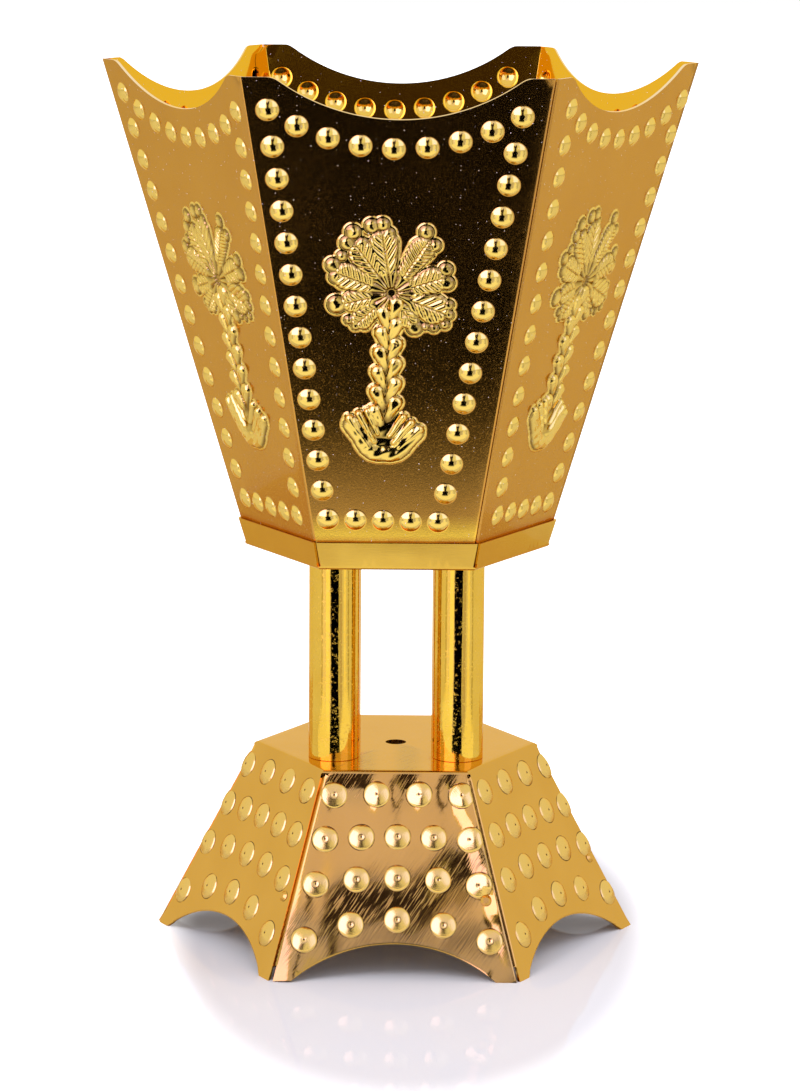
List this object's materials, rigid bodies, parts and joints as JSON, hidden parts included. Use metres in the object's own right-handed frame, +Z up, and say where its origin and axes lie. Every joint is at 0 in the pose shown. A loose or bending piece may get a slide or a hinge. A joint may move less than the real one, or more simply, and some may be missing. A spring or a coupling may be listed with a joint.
{
  "type": "mabkhara incense burner",
  "caption": "Hexagonal incense burner in embossed sheet brass: a flared bowl with a lift-out charcoal pan, on round tubes over a studded base with arched feet.",
  "frame": {"origin": "centre of the hexagon on the plane that the six feet stand on", "axes": "+Z up along the hexagon's axis; the front panel faces -Y; two corners of the hexagon lie on X"},
  "size_m": [0.1854, 0.1606, 0.2773],
  "materials": {
    "bowl_brass": "pressed sheet, gold plated and polished",
    "base_brass": "pressed sheet, gold plated, with fine scratches",
    "tray_brass": "bent sheet, gold plated and polished",
    "polished_tube": "drawn tube, polished",
    "plated_steel": "zinc plated",
    "pan_steel": "plain sheet, dulled by heat"
  },
  "bodies": {
    "burner": {"base_shell": "base_brass", "base_seam_rivets": "base_brass", "collar_tray": "tray_brass", "pillar_front_left": "polished_tube", "pillar_front_right": "polished_tube", "pillar_rear_left": "polished_tube", "pillar_rear_right": "polished_tube", "tie_rod_front_left": "plated_steel", "tie_rod_front_right": "plated_steel", "tie_rod_rear_left": "plated_steel", "tie_rod_rear_right": "plated_steel", "lower_washers": "plated_steel", "lower_nuts": "plated_steel", "upper_washers": "plated_steel", "upper_nuts": "plated_steel", "bowl_panel_front": "bowl_brass", "bowl_panel_front_right": "bowl_brass", "bowl_panel_rear_right": "bowl_brass", "bowl_panel_rear": "bowl_brass", "bowl_panel_rear_left": "bowl_brass", "bowl_panel_front_left": "bowl_brass"},
    "pan": {"charcoal_pan": "pan_steel"}
  },
  "joints": [
    {"name": "pan_lift", "type": "slide", "parent": "burner", "child": "pan", "axis": [0, 0, 1], "range_m": [0, 0.085]}
  ]
}
